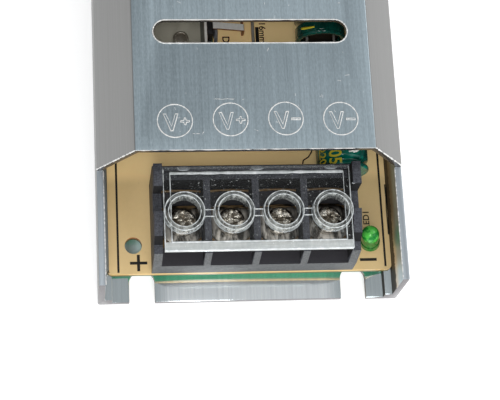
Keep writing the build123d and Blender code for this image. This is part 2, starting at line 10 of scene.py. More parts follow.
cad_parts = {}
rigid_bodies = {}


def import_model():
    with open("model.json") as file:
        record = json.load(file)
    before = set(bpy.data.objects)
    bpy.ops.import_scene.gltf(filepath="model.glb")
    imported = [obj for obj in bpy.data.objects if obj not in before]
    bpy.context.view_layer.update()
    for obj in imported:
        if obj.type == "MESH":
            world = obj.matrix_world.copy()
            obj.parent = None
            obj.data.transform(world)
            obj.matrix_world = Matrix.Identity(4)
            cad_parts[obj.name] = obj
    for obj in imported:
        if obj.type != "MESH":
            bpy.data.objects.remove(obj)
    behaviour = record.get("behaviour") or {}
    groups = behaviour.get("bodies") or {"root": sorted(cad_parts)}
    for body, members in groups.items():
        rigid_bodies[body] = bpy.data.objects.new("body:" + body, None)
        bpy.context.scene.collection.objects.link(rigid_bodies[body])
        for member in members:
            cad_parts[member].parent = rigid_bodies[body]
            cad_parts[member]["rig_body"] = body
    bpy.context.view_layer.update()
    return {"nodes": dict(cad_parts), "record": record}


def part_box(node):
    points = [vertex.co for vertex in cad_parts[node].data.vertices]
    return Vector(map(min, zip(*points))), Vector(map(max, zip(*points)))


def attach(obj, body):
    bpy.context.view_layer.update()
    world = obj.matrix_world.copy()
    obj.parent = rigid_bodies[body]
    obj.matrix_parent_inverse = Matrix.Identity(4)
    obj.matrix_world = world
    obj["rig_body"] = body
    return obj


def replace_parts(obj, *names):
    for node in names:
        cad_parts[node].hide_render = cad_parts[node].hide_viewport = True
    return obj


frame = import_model()


# The case is one aluminium extrusion, left bare, with fine die lines along it, a bluish flat top
# and duller grey shoulders. It is milled back over the terminals and has two vents milled in,
# which leaves burrs. Four terminal marks are stamped into its lightly scratched top. Its burrs,
# stamps, scratches and eased edges are painted near white: partly bright cut metal, partly a
# painted highlight.
class Value:
    """One socket of a finish, to do sums with"""

    def __init__(self, finish, socket):
        self.finish, self.socket = finish, socket

    def sum(self, operation, *numbers):
        return self.finish.node("Math", {"operation": operation}, dict(enumerate(numbers)))

    def __add__(self, other):
        return self.sum("ADD", self, other)

    def __sub__(self, other):
        return self.sum("SUBTRACT", self, other)

    def __rsub__(self, other):
        return self.sum("SUBTRACT", other, self)

    def __mul__(self, other):
        return self.sum("MULTIPLY", self, other)

    def __abs__(self):
        return self.sum("ABSOLUTE", self)

    __radd__ = __add__
    __rmul__ = __mul__

    def rise(self, low, high):
        """0 below one number and 1 above the other, with a soft step between"""
        soft = {"interpolation_type": "SMOOTHSTEP"}
        return self.finish.node("MapRange", soft, {0: self, "From Min": low, "From Max": high})


class Finish:
    """A surface finish, worked out in millimetres of the object's own place"""

    def __init__(self, name):
        self.material = bpy.data.materials.new(name)
        self.material.use_nodes = True
        self.tree = self.material.node_tree
        self.tree.nodes.clear()

    def node(self, kind, settings, sockets, out=0):
        """A node of one type, with its settings and the numbers or links of its sockets"""
        made = self.tree.nodes.new("ShaderNode" + kind)
        for key, setting in settings.items():
            setattr(made, key, setting)
        for key, value in sockets.items():
            if isinstance(value, Value):
                self.tree.links.new(value.socket, made.inputs[key])
            else:
                made.inputs[key].default_value = value
        return Value(self, made.outputs[out])

    def scaled(self, vector, size):
        return self.node("VectorMath", {"operation": "SCALE"}, {0: vector, "Scale": size})

    def parts(self, vector):
        """The X, Y and Z of a vector"""
        split = self.node("SeparateXYZ", {}, {0: vector}).socket.node
        return [Value(self, socket) for socket in split.outputs]

    def place(self):
        return self.parts(self.scaled(self.node("TexCoord", {}, {}, "Object"), 1000))

    def facing(self):
        return self.parts(self.node("TexCoord", {}, {}, "Normal"))

    def grain(self, per_mm, detail=3.0, rough=0.55):
        """Noise from 0 to 1, with so many waves per millimetre along X, Y and Z"""
        spot = self.node("TexCoord", {}, {}, "Object")
        waves = [1000 * n for n in per_mm]
        spot = self.node("VectorMath", {"operation": "MULTIPLY"}, {0: spot, 1: waves})
        sockets = {"Vector": spot, "Scale": 1.0, "Detail": detail, "Roughness": rough}
        return self.node("TexNoise", {}, sockets)

    def mix(self, share, first, second):
        return self.node("Mix", {"data_type": "RGBA"}, {0: share, 6: first, 7: second}, 2)

    def bump(self, height, depth_mm, strength=1.0):
        sockets = {"Strength": strength, "Distance": depth_mm / 1000, "Height": height}
        return self.node("Bump", {}, sockets)

    def surface(self, **sockets):
        named = {key.replace("_", " "): value for key, value in sockets.items()}
        shader = self.node("BsdfPrincipled", {}, named)
        end = self.tree.nodes.new("ShaderNodeOutputMaterial")
        self.tree.links.new(shader.socket, end.inputs["Surface"])


def paint(red, green, blue):
    """A colour as a screen shows it, from 0 to 255"""
    parts = [c / 255 for c in (red, green, blue)]
    return [c / 12.92 if c < 0.04045 else ((c + 0.055) / 1.055) ** 2.4 for c in parts] + [1.0]


def settle(name, mesh, body, slot, *finishes):
    """Makes the object of a mesh and lets it ride on its body"""
    made = bpy.data.objects.new(name, mesh)
    bpy.context.scene.collection.objects.link(made)
    mesh.materials.clear()
    for finish in finishes:
        mesh.materials.append(finish.material)
    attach(made, body)
    return made


def skin(node, *finishes, ease=0.0, nudge=None, rings=()):
    """A piece's own form, in millimetres, with its flat faces joined and its sharp edges eased.

    Rings are rows along Y that get a loop of points, and nudge gives each point its new place.
    """
    flat_angle, smooth_angle, sharp_angle = [math.radians(angle) for angle in (1, 28, 35)]
    source = frame["nodes"][node]
    form = bmesh.new()
    form.from_mesh(source.data)
    bmesh.ops.scale(form, vec=(1000, 1000, 1000), verts=form.verts)
    bmesh.ops.remove_doubles(form, verts=form.verts, dist=0.001)
    bmesh.ops.dissolve_limit(form, angle_limit=flat_angle, verts=form.verts, edges=form.edges)
    for face in form.faces:
        face.material_index = 0
    for ring in rings:
        everything = form.verts[:] + form.edges[:] + form.faces[:]
        bmesh.ops.bisect_plane(form, geom=everything, plane_co=(0, ring, 0), plane_no=(0, 1, 0))
    for vertex in form.verts if nudge else []:
        vertex.co = nudge(*vertex.co)
    if ease:
        edges = [e for e in form.edges if e.is_manifold and e.calc_face_angle() > sharp_angle]
        bmesh.ops.bevel(
            form, geom=edges, offset=ease, offset_type="OFFSET", segments=2, profile=0.5,
            affect="EDGES", clamp_overlap=True, material=len(finishes) - 1,
        )
    for edge in form.edges:
        edge.smooth = edge.is_manifold and edge.calc_face_angle() < smooth_angle
    for face in form.faces:
        face.smooth = True
    bmesh.ops.scale(form, vec=(0.001, 0.001, 0.001), verts=form.verts)
    mesh = bpy.data.meshes.new(node + "_skin")
    form.to_mesh(mesh)
    form.free()
    subparts = frame["record"]["subparts"]
    slot = next(s["material_slot"] for s in subparts if s["node"] == node)
    made = settle(node + "_skin", mesh, source["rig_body"], slot, *finishes)
    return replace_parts(made, node)


def bead(name, paths, radius, body, slot, finish, flat=1.0, closed=True, wander=0.0):
    """A thin round or flattened bead along some paths, whose thickness may wander"""
    curve = bpy.data.curves.new(name, "CURVE")
    curve.dimensions = "3D"
    curve.bevel_depth = radius / 1000
    curve.bevel_resolution = 2
    curve.use_fill_caps = True
    chance = random.Random(len(paths) + len(paths[0]))
    for path in paths:
        spline = curve.splines.new("POLY")
        spline.points.add(len(path) - 1)
        spline.use_cyclic_u = closed
        for point, spot in zip(spline.points, path):
            point.co = [c / 1000 for c in spot] + [1]
            point.radius = 1 + wander * chance.uniform(-1, 1)
    rough = bpy.data.objects.new(name, curve)
    mesh = bpy.data.meshes.new_from_object(rough)
    bpy.data.objects.remove(rough)
    level = paths[0][0][2] / 1000
    for vertex in mesh.vertices:
        vertex.co.z = level + flat * (vertex.co.z - level) if flat < 1 else vertex.co.z
    for face in mesh.polygons:
        face.use_smooth = True
    mesh.name = name
    return settle(name, mesh, body, slot, finish)


def line(first, last, pieces):
    """Points at equal steps along a straight line"""
    return [tuple(Vector(first).lerp(Vector(last), n / pieces)) for n in range(pieces + 1)]


def circle(x, y, radius, level, points):
    """Points at equal steps round a level circle"""
    turns = [2 * math.pi * n / points for n in range(points)]
    return [(x + radius * math.cos(turn), y + radius * math.sin(turn), level) for turn in turns]


drawn = Finish("drawn_aluminium")
x, y, z = drawn.place()
across, along, up = drawn.facing()
die_lines = drawn.grain((2.6, 0.02, 2.6), 4, 0.7)
bands = drawn.grain((0.45, 0.008, 0.45), 2)
cross_lines = drawn.grain((0.05, 3.2, 0.05), 3, 0.7)
cloud = drawn.grain((0.05, 0.03, 0.05), 2)
frost = drawn.grain((4.5, 1.3, 4.5), 2)
nicks = drawn.grain((1.1, 0.5, 1.1), 2).rise(0.72, 0.76)
top = up.rise(0.85, 0.95) * z.rise(20, 22)
level_wall = up.rise(0.85, 0.95) * z.rise(14, 14.5) * (1 - z.rise(15.2, 15.4))
floor_face = up.rise(0.85, 0.95) * (1 - z.rise(4, 5))
# The right shoulder is painted darker, a painted shade.
right_shoulder_shade = up.rise(0.3, 0.6) * across.rise(0.3, 0.6) * (1 - top)
tone = 0.68 + die_lines * 0.42 + bands * 0.10 + cloud * 0.08 - right_shoulder_shade * 0.08
top_tone = cross_lines * 0.14 + (die_lines - 0.5) * 0.22 - bands * 0.04 + (frost - 0.5) * 0.5
# The top is painted lighter towards the right and darker near the cut ends: painted light and shade.
top_tone = top_tone + x * 0.004 - abs(y).rise(58, 71) * 0.08
tone = tone + top_tone * top
inner_wall = abs(across).rise(0.85, 0.95) * (1 - abs(x).rise(28.9, 29.3))
milled = abs(along).rise(0.85, 0.95)
polish = floor_face * abs(y).rise(88.6, 89.4)
base = drawn.mix(top, paint(142, 142, 141), paint(160, 174, 181))
# The case floor is painted lighter in the middle and darker towards the walls: painted light and shade.
floor_lit_middle = drawn.mix(abs(x).rise(15, 19), paint(246, 252, 255), paint(192, 202, 205))
base = drawn.mix(floor_face, base, floor_lit_middle)
base = drawn.mix(level_wall, base, paint(166, 174, 180))
# The inner walls are painted tan low down and bluish higher up: a painted reflection.
wall_painted_reflection = drawn.mix(z.rise(8, 12), paint(222, 208, 190), paint(192, 204, 210))
base = drawn.mix(inner_wall, base, wall_painted_reflection)
right_wall = inner_wall * (1 - across.rise(-0.95, -0.85))
board_shadow = right_wall * (1 - abs(y).rise(78, 86)) * (1 - z.rise(9, 14))
base = drawn.mix(board_shadow * 0.8, base, paint(64, 52, 34))
# A dark jagged band low on the right inner wall is a painted shade of the gap beside the board.
gap_shade_jag = drawn.grain((0.01, 1.1, 0.01), 3, 0.7)
gap_shade_line = right_wall * (1 - (z + gap_shade_jag * 2.4).rise(9.0, 9.5))
base = drawn.mix(gap_shade_line * 0.9, base, paint(20, 16, 10))
base = drawn.mix(milled, base, paint(122, 120, 122))
base = drawn.mix(nicks * top * 0.7, base, paint(196, 204, 208))
line_roughness = (die_lines - 0.5) * 0.2 * (1 - polish)
drawn.surface(
    Base_Color=drawn.scaled(base, tone),
    Metallic=0.9,
    Roughness=0.42 - polish * 0.3 - inner_wall * 0.05 - milled * 0.2 + line_roughness,
    Normal=drawn.bump(die_lines * (1 - polish * 0.8), 0.015),
)

# The cut finish is painted near white, partly bright cut metal and partly a painted highlight on edges.
cut_and_glint = Finish("cut_aluminium_and_highlight")
chatter = cut_and_glint.grain((1.6, 1.6, 1.6), 3)
cut_and_glint.surface(
    Base_Color=cut_and_glint.mix(chatter, paint(205, 205, 203), paint(250, 250, 248)),
    Metallic=0.5,
    Roughness=0.3 + chatter * 0.2,
    Normal=cut_and_glint.bump(chatter, 0.02),
)
skin("case", drawn, cut_and_glint, ease=0.12)

case_top, vent_middle, vent_straight, vent_half, burr_step = 26.4, 47.8, 16.5, 2.45, 0.8
vents = []
for sign in (-1, 1):
    rim = [
        (x + math.copysign(vent_straight, x), y, z)
        for x, y, z in circle(0, sign * vent_middle, vent_half, case_top, 96)
    ]
    long_rim = []
    for here, ahead in zip(rim, rim[1:] + rim[:1]):
        pieces = max(1, round(abs(ahead[0] - here[0]) / burr_step))
        long_rim += line(here, ahead, pieces)[:-1]
    vents.append(long_rim)
bead("vent_burrs", vents, 0.13, "chassis", "case_aluminium", cut_and_glint, wander=0.35)

cut_row, top_half, edge_level = 72.0, 22.9, case_top - 0.03
top_edges = [
    line((-top_half, sign * cut_row, edge_level), (top_half, sign * cut_row, edge_level), 60)
    for sign in (-1, 1)
]
bead("cut_edge_burrs", top_edges, 0.065, "chassis", "case_aluminium", cut_and_glint, closed=False, wander=0.9)
slope_row = cut_row - 0.02
slope_top, slope_top_level, slope_foot, slope_foot_level = 22.95, 26.36, 29.95, 15.66
wall_edge, wall_level, wall_start, wall_end = 28.68, 14.9, cut_row + 0.2, cut_row + 22.8
slopes, wall_edges = [], []
for side in (-1, 1):
    for sign in (-1, 1):
        x, y = side * wall_edge, sign * slope_row
        slopes.append(line(
            (side * slope_top, y, slope_top_level), (side * slope_foot, y, slope_foot_level), 60,
        ))
        wall_edges.append(line(
            (x, sign * wall_start, wall_level), (x, sign * wall_end, wall_level), 90,
        ))
bead("slope_burrs", slopes, 0.11, "chassis", "case_aluminium", cut_and_glint, closed=False, wander=0.9)
bead("wall_edge_burrs", wall_edges, 0.09, "chassis", "case_aluminium", cut_and_glint, closed=False, wander=0.8)

stamp_row, stamp_pitch, stamp_radius, stamp_middle = -65.9, 10.6, 3.32, 0.6
letter_v = [
    (-2.2, 1.4), (-1.65, 1.4), (-0.62, -1.15), (0.1, 1.4), (0.62, 1.4), (-0.42, -2.0), (-0.82, -2.0),
]
plus = [
    (-0.22, 0.2), (-0.12, 0.7), (0.12, 0.7), (0.22, 0.2), (0.86, 0.12), (0.86, -0.12),
    (0.22, -0.2), (0.12, -0.7), (-0.12, -0.7), (-0.22, -0.2), (-0.86, -0.12), (-0.86, 0.12),
]
minus = [(-0.85, 0.17), (0.85, 0.17), (0.85, -0.17), (-0.85, -0.17)]
stamp_ring = [(x, y) for x, y, level in circle(0, 0, stamp_radius, 0, 64)]
stamps = []
for mark, way, slip in ((plus, 0, -0.24), (plus, 1, -0.04), (minus, 2, 0.05), (minus, 3, -0.08)):
    middle_x, middle_y = stamp_middle + (way - 1.5) * stamp_pitch, stamp_row + slip
    placed_mark = [(x + 1.93, y - 0.12) for x, y in mark]
    for path in (stamp_ring, letter_v, placed_mark):
        stamps.append([(middle_x + x, middle_y + y, case_top - 0.01) for x, y in path])
bead("stamped_marks", stamps, 0.125, "chassis", "case_aluminium", cut_and_glint, wander=0.35)

chance = random.Random(11)
scratch_level, short_scratches = case_top - 0.02, 120
scratches = [
    [(-7.67 + 0.32 * n, -61.8 + 0.05 * math.sin(n), scratch_level) for n in range(13)],
    [(-11.95 + 0.22 * n, -68.78 + 0.03 * math.sin(2 * n), scratch_level) for n in range(7)],
]
for number in range(short_scratches):
    x, y = chance.uniform(-21, 21), chance.uniform(-70.5, 70)
    turn, length = chance.uniform(0, math.pi), chance.uniform(0.15, 0.9)
    end_x, end_y = x + length * math.cos(turn), y + length * math.sin(turn)
    scratches.append(line((x, y, scratch_level), (end_x, end_y, scratch_level), 4))
beside_vents = [s for s in scratches if abs(abs(s[0][1]) - vent_middle) > vent_half + 1]
bead(
    "top_scratches", beside_vents, 0.045, "chassis", "case_aluminium", cut_and_glint,
    closed=False, wander=0.5,
)


# The circuit board is single-sided laminate: bare tan on top, green solder lacquer below, with
# sawn edges. Its marks are printed in black ink: two guide lines, plus and minus beside the
# terminals, and short generic marks beside the parts.
laminate = Finish("tan_laminate")
x, y, z = laminate.place()
up = laminate.facing()[2]
weave = laminate.grain((1.5, 1.5, 1.5), 3)
mottle = laminate.grain((0.07, 0.07, 0.07), 3)
under = 1 - up.rise(-0.8, -0.5)
edge = 1 - abs(up).rise(0.3, 0.6)
tan = laminate.mix(mottle, paint(212, 182, 126), paint(230, 202, 150))
tan = laminate.mix(edge, tan, paint(212, 176, 112))
hole_x, hole_y = -22.86, -84.53
hole_wall = edge * (1 - abs(x - hole_x).rise(2.2, 2.4)) * (1 - abs(y - hole_y).rise(2.2, 2.4))
tan = laminate.mix(hole_wall, tan, paint(176, 104, 44))
tan = laminate.mix(edge * (1 - z.rise(3.8, 4.7)), tan, paint(92, 92, 52))
# The tan is painted lighter under the case's roof, in the middle and below the vents, and darker at the
# open margins near the walls: painted light and shade.
roofed = 1 - abs(y).rise(69, 72)
margin = abs(x).rise(20, 24) * (1 - roofed)
pits = laminate.grain((0.9, 0.9, 0.9), 2).rise(0.73, 0.77)
middle = 1 - abs(x).rise(8, 22)
below_vent = 1 - abs(abs(y) - vent_middle).rise(5, 10)
grain_and_painted_light = 0.96 + weave * 0.08 + roofed * (0.28 + middle * 0.22) + below_vent * 0.22
grain_and_painted_light = grain_and_painted_light - margin * 0.14 - pits * 0.1
green = laminate.mix(mottle, paint(24, 166, 112), paint(44, 190, 132))
glow = laminate.mix(edge * (1 - under), laminate.mix(under, tan, green), paint(60, 48, 30))
laminate.surface(
    Base_Color=laminate.mix(under, laminate.scaled(tan, grain_and_painted_light), green),
    Roughness=0.42 - under * 0.15 + weave * 0.08,
    Coat_Weight=under * 0.5,
    Emission_Color=glow,
    Emission_Strength=0.16,
    Normal=laminate.bump(weave, 0.01),
)


def true_board(x, y, z):
    """The sawn left edge and the drilled hole lie a little further in"""
    drilled_x, drilled_y, round_hole, left_edge = -23.25, -84.6, 2.6, -27.9
    if math.hypot(x - drilled_x, y - drilled_y) < round_hole:
        return x + 0.39, y + 0.15, z
    return (x + 0.35 if x < left_edge else x), y, z


skin("circuit_board", laminate, nudge=true_board)

ink = Finish("black_ink_and_shade")
wear = ink.grain((2.0, 2.0, 2.0), 3)
ink.surface(
    Base_Color=ink.mix(wear.rise(0.55, 0.8), paint(24, 22, 20), paint(70, 62, 50)),
    Roughness=0.5 + wear * 0.2,
)
board_top = 5.06
printed = board_top + 0.01


def print_and_shade_lines(name, paths, width):
    """Lines of black ink on the board, one of them a painted shade"""
    lines = [[(x, y, printed) for x, y in path] for path in paths]
    return bead(name, lines, width / 2, "chassis", "board_laminate", ink, flat=0.06, closed=False)


print_and_shade_lines("printed_guide_lines", [
    [(-25.9, -89.9), (-25.9, -30), (-25.9, 30), (-25.9, 89.9)],
    [(27.4, -89.6), (27.4, -30), (27.4, 30), (27.4, 89.6)],
], 0.42)
print_and_shade_lines("printed_terminal_signs", [
    [(-23.6, -88.0), (-20.2, -88.0)], [(-21.92, -86.3), (-21.92, -89.65)],
    [(22.3, -88.15), (25.7, -88.15)],
], 0.58)
print_and_shade_lines("printed_outlines", [
    [(14.1, -63.5), (13.9, -65.2), (13.2, -66.3), (12.1, -67.0), (11.9, -67.8)],
], 0.3)


def lettering(name, text, size, x, y, turn, finish=ink, slot="board_laminate", level=printed):
    """Flat printed characters round a spot, turned by some degrees"""
    words = bpy.data.curves.new(name, "FONT")
    words.body = text
    words.size = size
    words.align_x = words.align_y = "CENTER"
    words.offset = 0.02 * size
    rough = bpy.data.objects.new(name, words)
    mesh = bpy.data.meshes.new_from_object(rough)
    bpy.data.objects.remove(rough)
    turned = Matrix.Rotation(math.radians(turn), 4, "Z")
    mesh.transform(Matrix.Scale(0.001, 4) @ Matrix.Translation((x, y, level)) @ turned)
    return settle(name, mesh, "chassis", slot, finish)


lettering("printed_lamp_mark", "LED1", 1.75, 24.2, -79.8, 90)
lettering("printed_diode_mark", "D3", 2.1, -2.6, -40.9, -90)
lettering("printed_jumper_mark", "16mm", 1.9, 5.1, -38.8, -90)
# A dark bar, drawn in the ink finish, lies beside the jumper.
print_and_shade_lines("dark_bar_beside_jumper", [[(4.05, -37.6), (4.05, -43.4)]], 0.75)
# The dark line along the board's right edge is a painted shade of the gap by the wall.
print_and_shade_lines("edge_gap_shade_line", [
    [(28.46, -72.4), (28.5, -75.0), (28.44, -78.0), (28.5, -83.0)],
], 0.24)


# Heat blocks are sawn aluminium bars on the case's floor. On each lie a silicone pad, two black
# moulded packages with tinned frames, and a grey plate that one countersunk screw pulls down.
bar = Finish("sawn_aluminium")
saw = bar.grain((0.6, 4.0, 4.0), 3)
bar.surface(
    Base_Color=bar.mix(saw, paint(150, 152, 152), paint(190, 192, 192)),
    Metallic=0.85, Roughness=0.4 + saw * 0.15, Normal=bar.bump(saw, 0.02),
)
plate = Finish("grey_clamp_plate")
brush = plate.grain((0.25, 3.0, 0.5), 3)
smear = plate.grain((0.12, 0.12, 0.12), 2)
x = plate.place()[0]
# A dark band near the plate's right edge is a painted dark reflection.
painted_dark_reflection = x.rise(-8.5, -8.35) * (1 - x.rise(-7.75, -7.6))
grey = plate.mix(smear, paint(182, 178, 160), paint(206, 203, 188))
plate.surface(
    Base_Color=plate.scaled(plate.mix(painted_dark_reflection * 0.85, grey, paint(70, 72, 66)), 0.94 + brush * 0.1),
    Metallic=0.35, Roughness=0.5 + brush * 0.1, Normal=plate.bump(brush, 0.01),
)
pad = Finish("silicone_pad")
weave = pad.grain((2.5, 2.5, 2.5), 2)
pad.surface(
    Base_Color=pad.mix(weave, paint(120, 122, 126), paint(150, 152, 156)), Roughness=0.7 + weave * 0.1,
)
epoxy = Finish("black_epoxy")
speck = epoxy.grain((4.0, 4.0, 4.0), 3)
epoxy.surface(
    Base_Color=epoxy.mix(speck, paint(22, 22, 24), paint(44, 44, 46)),
    Roughness=0.5 + speck * 0.15, Normal=epoxy.bump(speck, 0.02),
)
tinned = Finish("tinned_wire")
dull = tinned.grain((1.2, 1.2, 1.2), 3)
tinned.surface(
    Base_Color=tinned.mix(dull, paint(176, 172, 164), paint(228, 226, 220)),
    Metallic=0.45, Roughness=0.25 + dull * 0.3, Normal=tinned.bump(dull, 0.02),
)
zinc = Finish("zinc_screw")
wash = zinc.grain((0.9, 0.9, 0.9), 3)
zinc.surface(
    Base_Color=zinc.mix(wash, paint(160, 152, 138), paint(222, 216, 204)),
    Metallic=0.9, Roughness=0.3 + wash * 0.25,
)
flat_lead = Finish("flat_tinned_lead")
upper_side = flat_lead.facing()[2].rise(0.4, 0.8)
dull = flat_lead.grain((1.2, 1.2, 1.2), 3)
bright = flat_lead.mix(dull, paint(196, 194, 186), paint(236, 235, 230))
# The leads' upper sides glow faintly, a painted light.
flat_lead.surface(
    Base_Color=flat_lead.mix(upper_side, paint(126, 78, 36), bright),
    Metallic=0.25, Roughness=0.3 + dull * 0.2,
    Emission_Color=flat_lead.mix(upper_side, paint(10, 8, 6), paint(236, 235, 230)),
    Emission_Strength=0.14,
)


def level_leads(x, y, z):
    """The leads stay high and drop steeply at their ends"""
    package_edge, lead_run, lead_rise, lead_foot = -4.6, 5.5, 1.5, 5.5
    reach = min(max((x - package_edge) / lead_run, 0), 1)
    return x, y, (z + lead_rise * reach if z > lead_foot else z)


lip_highlight_radius, lip_highlight_inset, thread_radius = 0.32, 0.3, 1.2
for side in ("rectifier", "switch"):
    skin(side + "_heat_block", bar, ease=0.1)
    skin(side + "_pad", pad)
    skin(side + "_bodies", epoxy)
    skin(side + "_frames", flat_lead, nudge=level_leads)
    skin(side + "_clamp_plate", plate, ease=0.08)
    skin(side + "_clamp_screw", zinc, ease=0.08)
    low, high = [[1000 * c for c in corner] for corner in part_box(side + "_clamp_plate")]
    # A bright bead along the plate's bent edge, in the tinned finish, is a painted highlight.
    lip_highlight = line(
        (high[0] - lip_highlight_radius, low[1] + lip_highlight_inset, high[2]),
        (high[0] - lip_highlight_radius, high[1] - lip_highlight_inset, high[2]), 40,
    )
    bead(
        side + "_plate_lip_highlight", [lip_highlight], lip_highlight_radius, "chassis", "plain_aluminium", flat_lead,
        flat=0.5, closed=False, wander=0.1,
    )
    low, high = [[1000 * c for c in corner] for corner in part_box(side + "_clamp_screw")]
    thread = circle((low[0] + high[0]) / 2, (low[1] + high[1]) / 2, thread_radius, high[2], 48)
    bead(side + "_screw_thread", [thread], 0.12, "chassis", "zinc_screw", zinc, wander=0.8)


# The electrolytic capacitors lie on the board in glossy teal sleeves that are shrunk over crimped
# cans. A black rubber bung closes each seal end round two bent leads. White glue holds the front
# one, and plain rating figures are printed along it in yellow.
sleeve = Finish("teal_sleeve")
y = sleeve.place()[1]
shrink = sleeve.grain((0.5, 0.25, 0.5), 3)
fine = sleeve.grain((2.5, 1.0, 2.5), 3)
# The cans behind the front one, under the case's roof, are painted darker teal: a painted shade.
teal_with_painted_shade = sleeve.mix(y.rise(-50, -46), paint(6, 116, 98), paint(0, 84, 72))
sleeve.surface(
    Base_Color=sleeve.mix(shrink.rise(0.35, 0.65), paint(0, 62, 54), teal_with_painted_shade),
    Roughness=0.16 + fine * 0.1, Coat_Weight=0.3 + shrink * 0.5, Normal=sleeve.bump(shrink, 0.25, 0.6),
)
rubber = Finish("black_rubber")
bloom = rubber.grain((1.5, 1.5, 1.5), 3)
rubber.surface(
    Base_Color=rubber.mix(bloom, paint(16, 15, 15), paint(40, 37, 35)), Roughness=0.6 + bloom * 0.2,
)
can_x, can_radius = 19.1, 5.2
neck_row, neck_depth, neck_length, end_row, end_gap = -70.15, 0.22, 0.42, -71.4, 0.35


def necked_can(x, y, z):
    """The front can's sleeve has shrunk into a neck behind its end"""
    level = board_top + can_radius
    narrow = 1 - neck_depth * math.exp(-(((y - neck_row) / neck_length) ** 2))
    row = y + end_gap if y < end_row else y
    return can_x + (x - can_x) * narrow, row, level + (z - level) * narrow


neck_rings = [neck_row + 0.3 * n for n in range(-3, 4)]
skin("front_output_capacitor", sleeve, nudge=necked_can, rings=neck_rings)
skin("rear_output_capacitor", sleeve)
skin("bulk_capacitor", sleeve)
skin("capacitor_seals", rubber)
skin("capacitor_leads", tinned)

yellow = Finish("yellow_print")
patch = yellow.grain((1.0, 1.0, 1.0), 2)
yellow.surface(
    Base_Color=yellow.mix(patch, paint(206, 190, 40), paint(232, 216, 70)), Roughness=0.3 + patch * 0.1,
)


def wrapped(name, text, size, along_y, around):
    """Figures printed along the front can, bent round its sleeve"""
    made = lettering(name, text, size, 0, 0, -90, yellow, "green_sleeve", 0)
    reach, stretch = can_radius + 0.02, 1.12
    for vertex in made.data.vertices:
        angle = around + stretch * vertex.co.x * 1000 / can_radius
        vertex.co = Vector((
            can_x + reach * math.sin(angle), along_y + vertex.co.y * 1000,
            board_top + can_radius + reach * math.cos(angle),
        )) / 1000
    return made


wrapped("rating_figures_large", "105", 3.2, -69.0, -0.45)
wrapped("rating_figures_small", "220", 2.4, -69.0, -1.02)


def sleeve_lip(name, x, y, radius, thickness):
    """The shrunk end of a sleeve, rolled over the can's edge"""
    upright_ring = circle(x, board_top + radius, radius - thickness, y, 72)
    path = [(across_can, row, level) for across_can, level, row in upright_ring]
    return bead(name, [path], thickness, "chassis", "green_sleeve", sleeve, wander=0.12)


sleeve_lip("front_capacitor_lip", can_x, -71.0, can_radius, 0.5)
sleeve_lip("rear_capacitor_lip", 16.4, -42.7, 5.2, 0.6)
sleeve_lip("bulk_capacitor_lip", 12.5, 50.1, 8.0, 0.7)

glue = Finish("white_glue")
wrinkles = glue.grain((0.8, 0.8, 0.8), 3)
glue.surface(
    Base_Color=glue.mix(wrinkles, paint(214, 214, 208), paint(245, 246, 242)),
    Roughness=0.3 + wrinkles * 0.15, Normal=glue.bump(wrinkles, 0.1),
)


def blob(name, middle, size, seed, body, slot, finish, lumps=0.35):
    """A set drop, wider than high, with an uneven outline"""
    form = bmesh.new()
    bmesh.ops.create_icosphere(form, subdivisions=4, radius=1)
    for vertex in form.verts:
        swell = 1 + lumps * field.noise(vertex.co * 1.6 + Vector((seed, 0, 0)))
        spot = [m + s * c * swell for m, s, c in zip(middle, size, vertex.co)]
        vertex.co = Vector(spot) / 1000
    for face in form.faces:
        face.smooth = True
    mesh = bpy.data.meshes.new(name)
    form.to_mesh(mesh)
    form.free()
    return settle(name, mesh, body, slot, finish)


blob(
    "glue_on_front_capacitor", (20.4, -68.2, 15.25), (1.3, 0.75, 0.2), 3.0,
    "chassis", "green_sleeve", glue, 0.7,
)
blob(
    "paste_beside_rectifier", (-4.75, -39.3, 6.2), (0.5, 2.7, 0.9), 6.0,
    "chassis", "grey_pad", pad, 0.3,
)
blob(
    "glue_behind_front_capacitor", (23.4, -60.0, 6.4), (2.0, 3.5, 1.6), 8.0,
    "chassis", "green_sleeve", glue,
)
stripe = [
    (12.2, -41.6, 13.36), (12.8, -41.8, 14.02), (13.4, -41.9, 14.52), (14.0, -41.95, 14.9),
    (14.5, -41.9, 15.12),
]
bead("rear_can_stripe", [stripe], 0.24, "chassis", "green_sleeve", yellow, closed=False, wander=0.3)


# The chokes and the transformer are wound parts: fired ferrite cores, enamelled copper wire, a
# black moulded bobbin and a coil under yellow polyester tape. They stand on the board.
ferrite = Finish("dark_ferrite")
pores = ferrite.grain((2.0, 2.0, 2.0), 4)
ferrite.surface(
    Base_Color=ferrite.mix(pores, paint(38, 38, 40), paint(70, 70, 72)),
    Metallic=0.2, Roughness=0.45 + pores * 0.15, Normal=ferrite.bump(pores, 0.03),
)
copper = Finish("enamelled_copper")
enamel = copper.grain((0.6, 0.6, 0.6), 2)
copper.surface(
    Base_Color=copper.mix(enamel, paint(140, 70, 30), paint(196, 112, 56)),
    Metallic=0.7, Roughness=0.22 + enamel * 0.12,
)
tape = Finish("yellow_tape")
laps = tape.grain((0.1, 0.1, 1.4), 2)
tape.surface(
    Base_Color=tape.mix(laps, paint(196, 158, 36), paint(226, 192, 66)),
    Roughness=0.25 + laps * 0.1, Normal=tape.bump(laps, 0.05),
)
for piece, finish in (
    ("output_choke_core", ferrite), ("line_choke_core", ferrite), ("transformer_core", ferrite),
    ("output_choke_windings", copper), ("line_choke_windings", copper),
    ("transformer_bobbin", epoxy), ("transformer_coil", tape),
):
    skin(piece, finish)


